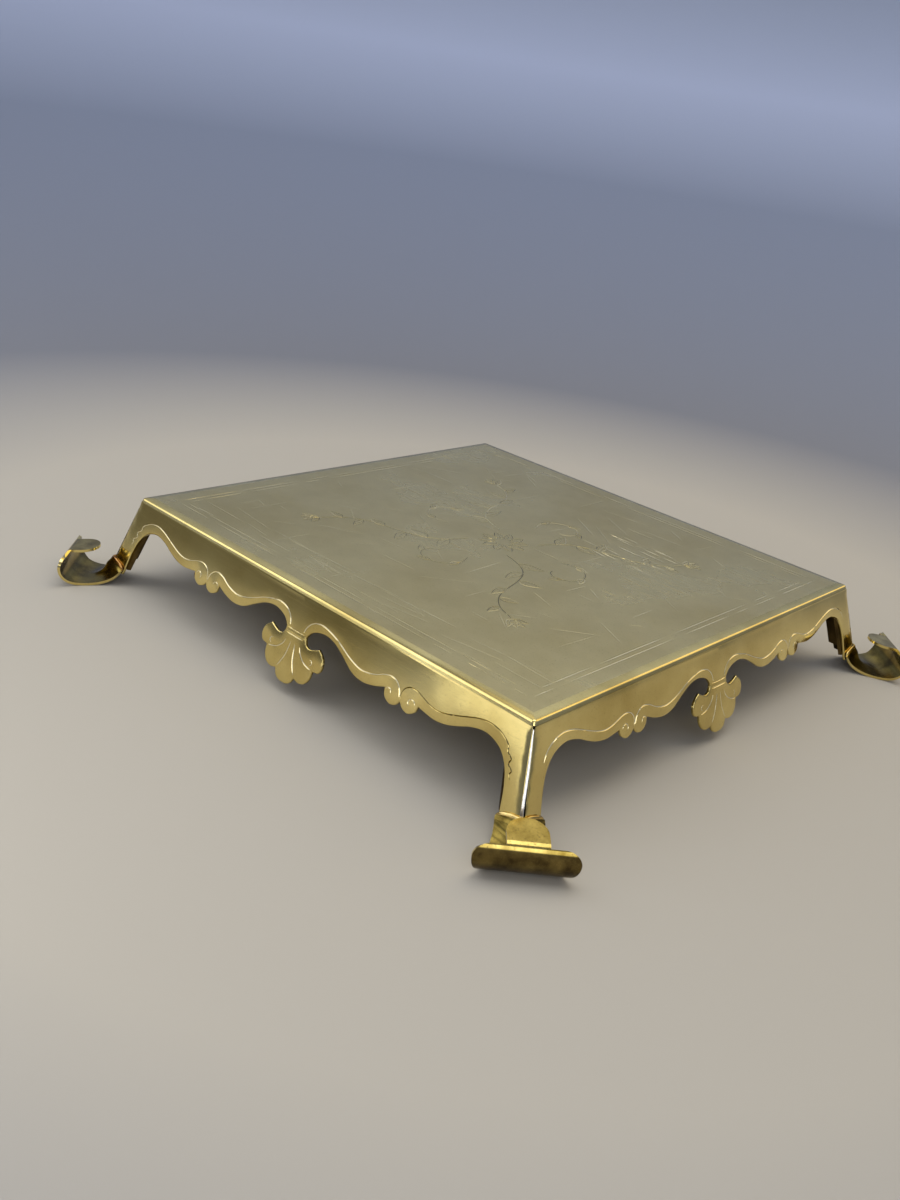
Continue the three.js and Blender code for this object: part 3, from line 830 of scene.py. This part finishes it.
def foot_path():
    """The strip's middle line in the upright plane through the diagonal. Its heading is a chain
    of stretches, straight or turning evenly, and the line is the running sum of its steps."""
    spread = math.sqrt(2) * math.tan(SLOPE)
    down_corner = math.atan(spread) - math.pi / 2
    headings = [down_corner, down_corner, 0, math.pi / 2, BAR_HEADING, BAR_HEADING]
    headings += [BAR_EDGE_HEADING, TAB_HEADING, TAB_HEADING]
    turns = np.diff(headings)
    scroll, roll = SCROLL_RADIUS * turns[1:4], ROLL_RADIUS * turns[5:7]
    lengths = np.array([LAP_LENGTH, *scroll, BAR_STRAIGHT, *roll, TAB_STRAIGHT + TAB_HALF])
    marks = np.r_[0, np.cumsum(lengths)]
    names = ("top", "bend", "sole", "widest", "bar", "roll", "edge", "tab", "end")
    at = dict(zip(names, marks))
    counts = [max(3, int(round(length / PATH_STEP)) + 1) for length in np.diff(marks)]
    even = [np.linspace(*stretch) for stretch in zip(marks[:-1], marks[1:], counts)]
    quarter_turn = np.sin(np.linspace(0, 1, 16) * math.pi / 2)
    corner = at["widest"] + (at["edge"] - at["widest"]) * quarter_turn
    tip = at["end"] - TAB_HALF * (1 - quarter_turn)
    run = np.unique(np.round(np.concatenate([*even[:3], corner, *even[6:], tip]), 5))
    kept = np.r_[True, np.diff(run) > 0.02] | np.isin(run, np.round(marks, 5))
    run = run[kept & (run < at["end"] - 0.01)]
    heading = np.interp(run, marks, headings)
    middle = (heading[1:] + heading[:-1]) / 2
    step = np.diff(run)
    bend_height = SCROLL_RADIUS * (1 - math.cos(down_corner)) + FOOT_THICKNESS / 2 + FLOOR_FILM
    top_height = bend_height - LAP_LENGTH * math.sin(down_corner)
    offset = (SOLDER_FILM + FOOT_THICKNESS / 2) * math.sqrt(2) / math.cos(SLOPE)
    start = spread * (PLATE_TOP - top_height) + offset
    out = start + np.r_[0, np.cumsum(step * np.cos(middle))]
    height = top_height + np.r_[0, np.cumsum(step * np.sin(middle))]
    return run, out, height, down_corner, at


def foot_sheet():
    """The strip's middle surface: rows along the path and columns across it. The outer columns
    end at the edge of the bar, and the middle ones go on into the tab. The last value is the
    share of the full thickness that the file left."""
    run, out, height, down_corner, at = foot_path()
    foot = ANKLE_HALF + (BAR_HALF - ANKLE_HALF) * smoothstep(run, at["bend"], at["widest"])
    past_widest = np.clip((run - at["widest"]) / (at["edge"] - at["widest"]), 0, 1)
    foot = foot - BAR_CORNER_REACH * (1 - np.sqrt(1 - past_widest**2))
    past_round = np.clip(run - at["end"] + TAB_HALF, 0, TAB_HALF * 0.9995)
    tab = np.sqrt(TAB_HALF**2 - past_round**2)
    on_tab = run > at["edge"] + 1e-4
    half = np.where(on_tab, tab, foot)
    inner_half = foot / 2 + (TAB_HALF - foot / 2) * smoothstep(run, 0, at["widest"])
    band = np.where(on_tab, tab, inner_half)
    fold = 1 - smoothstep(run, at["bend"] - 1.5, at["sole"] + 4)
    filed = (1 - LAP_END_SHARE) * (1 - smoothstep(run, 0, LAP_FILED))
    out = out - filed * FOOT_THICKNESS / 2 * math.sqrt(2) / math.cos(SLOPE)
    side_share = np.linspace(0, 1, 8)[:-1]
    left = -(half[:, None] * (1 - side_share) + band[:, None] * side_share)
    across = np.hstack([left, np.linspace(-1, 1, 19) * band[:, None], -left[:, ::-1]])
    ridge = np.sqrt(across**2 + RIDGE_ROUNDING**2) - 0.45 * RIDGE_ROUNDING
    on_lap = np.clip(1 - run / at["bend"], 0, 1)[:, None]
    drop = LAP_ROUNDING * (across / half[:, None]) ** 2 * on_lap
    outward = out[:, None] - fold[:, None] * ridge + drop * math.cos(down_corner)
    upward = height[:, None] + drop * math.sin(down_corner)
    rows, columns = across.shape
    row, column = np.meshgrid(np.arange(rows - 1), np.arange(columns - 1), indexing="ij")
    edge_row = int(np.argmin(np.abs(run - at["edge"])))
    on_band = (column >= len(side_share)) & (column < columns - 1 - len(side_share))
    corner = (row * columns + column)[(row < edge_row) | on_band]
    faces = np.stack([corner, corner + 1, corner + columns + 1, corner + columns], 1)
    return outward, across, upward, faces, np.repeat(1 - filed, columns).reshape(rows, columns)


def make_foot(name, quarter):
    """The strip: its middle surface with a wall of even thickness, thinner where it is filed,
    and its edges rounded with a file."""
    outward, across, height, faces, full = foot_sheet()
    used, index = np.unique(faces, return_inverse=True)
    points = at_corner(outward.ravel(), across.ravel(), height.ravel(), quarter)[used]
    foot = make_piece(name, points, index.reshape(faces.shape).tolist(), hard=60)
    share = foot.vertex_groups.new(name="thickness")
    for vertex, weight in enumerate(full.ravel()[used]):
        share.add([vertex], float(weight), "REPLACE")
    wall = foot.modifiers.new("Thickness", "SOLIDIFY")
    wall.thickness = FOOT_THICKNESS * MM
    wall.offset = 0
    wall.use_even_offset = True
    wall.vertex_group = "thickness"
    wall.material_offset = 1
    wall.material_offset_rim = 3
    edge = foot.modifiers.new("Filed edges", "BEVEL")
    edge.width = FILED_EDGE * MM
    edge.segments = 3
    edge.limit_method = "ANGLE"
    edge.angle_limit = math.radians(50)
    edge.harden_normals = True
    return foot


def make_bead(name, quarter):
    """The fillet of brazing metal along the lap's end: an oval carried along that edge, thin at
    both ends, that touches the end of the strip and the flanges."""
    outward, across, height = (rows[0] for rows in foot_sheet()[:3])
    down_corner = foot_path()[3]
    cosine, sine = math.cos(down_corner), math.sin(down_corner)
    slant = across / np.hypot(across, RIDGE_ROUNDING)
    up = np.array([-cosine, 0, -sine])
    even = np.ones(len(across))
    face = np.stack([-sine * even, -sine * slant, cosine * even], 1)
    face /= np.linalg.norm(face, axis=1, keepdims=True)
    middle = np.stack([outward, across, height], 1) + BEAD_UP * up + BEAD_IN * face
    taper = np.sqrt(np.clip(1 - (across / np.abs(across).max()) ** 6, 0.02, 1))
    size = taper * (1 + 0.06 * np.sin(across * 1.9 + quarter))
    angle = np.linspace(0, 2 * np.pi, BEAD_COLUMNS, endpoint=False)[None, :, None]
    rise = BEAD_HALF_HEIGHT * np.cos(angle) * up
    oval = rise + BEAD_HALF_DEPTH * np.sin(angle) * face[:, None]
    rings = middle[:, None] + size[:, None, None] * oval
    return make_run(name, at_corner(*rings.reshape(-1, 3).T, quarter), BEAD_COLUMNS)


def strip_metal(name, bright, dull, smooth, rough, pitted, wave=0.0001, patch=0.008):
    """Brass that was worked at the forge and filed: smooth, with small clouds and many specks."""
    return worn_brass(name, bright, dull, smooth, rough, wave, 0.000001, patch, pitted)


# The brass of the faces that turn up: rubbed, and lighter as painted light.
foot_brass_rubbed_and_painted_light = strip_metal("bent_brass_strip", "D2BA6A", "86702F", 0.13, 0.24, pitted=0.8)
# Inside the scroll no cloth reaches, and it has gone brown. The side that faces out and down was
# left rougher, and is painted darker: painted shade.
foot_inside = strip_metal("bent_brass_strip_inside", "93803F", "4E411C", 0.18, 0.32, pitted=0.8)
foot_outside_painted_shade = strip_metal("bent_brass_strip_outside_painted_shade", "8F7C48", "46391F", 0.2, 0.34, pitted=0.9)
# Brazing metal, filed down with the strip. On one corner it has more copper, and heat browned it.
brazing_brass = strip_metal(
    "brazing_brass", "E0C884", "AE8F4E", 0.16, 0.26, pitted=0.4, wave=0.00006, patch=0.006
)
copper_brazing = strip_metal(
    "coppery_brazing_brass", "CFA066", "8A6434", 0.16, 0.26, pitted=0.4, wave=0.00006, patch=0.006
)
for quarter, corner in enumerate(CORNERS):
    bead = make_bead(f"brazing_bead_{corner}", quarter)
    bead.data.materials.append(copper_brazing if corner == "front_left" else brazing_brass)
    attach(bead, "root")
    foot = make_foot(f"scroll_foot_{corner}", quarter)
    for look in (foot_outside_painted_shade, foot_inside, foot_brass_rubbed_and_painted_light, polished_brass):
        foot.data.materials.append(look)
    # The faces that turn up, the bar's upper edge and the tab among them, are rubbed bright and
    # take the lighter brass as painted light; the rest take the outside's painted shade.
    looks = [2 if face.normal.z > 0.3 else 0 for face in foot.data.polygons]
    foot.data.polygons.foreach_set("material_index", looks)
    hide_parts(f"foot_{corner}")
    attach(foot, "root")

# ---------------------------------------------------------------------------------------------
# The studio: a pale sweep that rises all round, soft lamps, and the camera at the photograph's
# viewing angle. None of it belongs to the trivet. Its sizes are in metres.

FLOOR_REACH = 0.5
SWEEP_RADIUS = 0.7
WALL_TOP = 1.1
SWEEP_COLUMNS = 96


def make_sweep():
    """A profile (distance, height) turned round the upright: a flat floor, then a quarter circle
    up to a low wall."""
    angle = np.linspace(0, math.pi / 2, 25)
    curve = FLOOR_REACH + SWEEP_RADIUS * np.sin(angle)
    reach = np.r_[0.001, FLOOR_REACH / 2, curve, FLOOR_REACH + SWEEP_RADIUS][:, None]
    height = np.r_[0, 0, SWEEP_RADIUS * (1 - np.cos(angle)), WALL_TOP][:, None]
    turn = np.linspace(0, 2 * np.pi, SWEEP_COLUMNS, endpoint=False)
    height = np.repeat(height, SWEEP_COLUMNS, 1)
    points = np.stack([reach * np.cos(turn), reach * np.sin(turn), height], -1).reshape(-1, 3)
    faces = [list(range(SWEEP_COLUMNS))] + loop_faces(len(reach), SWEEP_COLUMNS).tolist()
    return make_piece("sweep", points / MM, faces, hard=60)


# Colours of the paper by the distance from the middle of the floor. They carry painted shade
# where the sweep starts to bend, and painted light up the wall.
PAPER_PAINTED_LIGHT_AND_SHADE = [
    (0.28, "B4AEA2"),
    (0.52, "7C7E86"),
    (0.95, "7E879C"),
    (1.09, "A6B0CA"),
    (1.22, "8C95A8"),
    (1.46, "DDE1E8"),
]
PAPER_REACH = 1.6
# A dark cloud of painted shade lies on the paper beside the front panel,
# to give its metal some depth.
PAINTED_SHADE_COLOUR = "52504B"
CLOUD_PLACE = (-0.475, -0.51, 0.0)
CLOUD_HEADING = math.radians(-26)
CLOUD_REACH = (0.31, 0.18, 1.0)
CLOUD_CORE = 0.6  # the share of its reach where it starts to thin out


def paper():
    """Seamless background paper, matt. Its colour carries painted light and shade: warm on the
    floor, painted shade where it starts to bend, then cooler, with painted light up the wall."""
    material = new_material("background_paper")
    place = add(material, "TexCoord").outputs["Object"]
    far = add(material, "VectorMath", {0: place}, operation="LENGTH").outputs["Value"]
    share = add(
        material, "MapRange", {"Value": far, "From Max": PAPER_REACH}
    ).outputs["Result"]
    ramp = add(material, "ValToRGB", {"Fac": share})
    stops = ramp.color_ramp.elements
    while len(stops) < len(PAPER_PAINTED_LIGHT_AND_SHADE):
        stops.new(0.5)
    for stop, (distance, colour) in zip(stops, PAPER_PAINTED_LIGHT_AND_SHADE):
        stop.position = distance / PAPER_REACH
        stop.color = linear(colour)
    spot = {"Location": CLOUD_PLACE, "Rotation": (0, 0, CLOUD_HEADING), "Scale": CLOUD_REACH}
    spot["Vector"] = place
    lay = add(material, "Mapping", spot, vector_type="TEXTURE").outputs["Vector"]
    away = add(material, "VectorMath", {0: lay}, operation="LENGTH").outputs["Value"]
    # The painted shade is full in the cloud's core and thins out to its reach.
    thinning = {"Value": away, "From Min": 1.0, "From Max": CLOUD_CORE}
    cloud = add(material, "MapRange", thinning, interpolation_type="SMOOTHSTEP").outputs["Result"]
    mix = {"Factor": cloud, "A": ramp.outputs["Color"], "B": linear(PAINTED_SHADE_COLOUR)}
    shaded = add(material, "Mix", mix, data_type="RGBA").outputs["Result"]
    return finish_material(material, Base_Color=shaded, Roughness=0.9)


def soft_box(name, bearing, rise, distance, size, glow, target=(0.0, 0.0, 0.03), colour="FFFFFF"):
    """A rectangular soft box at a bearing and a rise in degrees from the target. Its power is
    the brightness of its face, times pi, times its area."""
    lamp = bpy.data.lights.new(name, "AREA")
    lamp.shape = "RECTANGLE"
    lamp.size, lamp.size_y = size
    lamp.energy = glow * math.pi * size[0] * size[1]
    lamp.color = linear(colour)[:3]
    box = bpy.data.objects.new(name, lamp)
    turn, tilt = math.radians(bearing), math.radians(rise)
    way = Vector((math.cos(tilt) * math.cos(turn), math.cos(tilt) * math.sin(turn), math.sin(tilt)))
    box.location = Vector(target) + distance * way
    box.rotation_euler = way.to_track_quat("Z", "Y").to_euler()
    box.visible_camera = False
    bpy.context.scene.collection.objects.link(box)


sweep = make_sweep()
sweep.data.materials.append(paper())
soft_box("overhead_box", 60, 84, 1.7, (1.3, 1.3), 2.1)
soft_box("wall_wash", 310, 45, 0.8, (0.9, 0.3), 2.2, target=(-0.75, 0.9, 0.75), colour="EEF1FF")
soft_box("floor_wash", 0, 90, 0.15, (0.16, 0.16), 1.3, target=(-0.02, -0.38, 0.0))
soft_box("window_box", 226, 38, 0.85, (0.63, 0.94), 1.4)
soft_box("bounce_card", 241, 6, 0.42, (0.13, 0.1), 1.2, target=(0.1, -0.12, 0.0))
soft_box("back_box", 66, 42, 1.0, (0.6, 0.96), 0.95, colour="FFE08C")
soft_box("tab_box", 121, 56, 0.9, (0.4, 0.3), 0.5, colour="FFF4D0")
soft_box("side_box", 320, 24, 0.6, (0.34, 0.44), 2.0, target=(0.12, -0.12, 0.03))

world = bpy.data.worlds.new("studio_air")
world.use_nodes = True
world.node_tree.nodes["Background"].inputs["Color"].default_value = linear("C9CCD6")
world.node_tree.nodes["Background"].inputs["Strength"].default_value = 0.5
bpy.context.scene.world = world

# The camera stands at the photograph's viewing angle. Its axes are fitted to the plate's corners.
camera_data = bpy.data.cameras.new("camera")
camera_data.lens = 34.28
camera_data.sensor_width = 36.0
camera = bpy.data.objects.new("camera", camera_data)
right = Vector((0.71521362, 0.68490672, 0.13918425))
down = Vector((0.37057141, -0.20277392, -0.90639923))
ahead = Vector((-0.59257599, 0.69984678, -0.39883352))
turn = Matrix((right, -down, -ahead)).transposed().to_4x4()
camera.matrix_world = Matrix.Translation((0.301194, -0.386576, 0.221246)) @ turn
bpy.context.scene.collection.objects.link(camera)
bpy.context.scene.camera = camera

bpy.context.scene.view_settings.view_transform = "Standard"
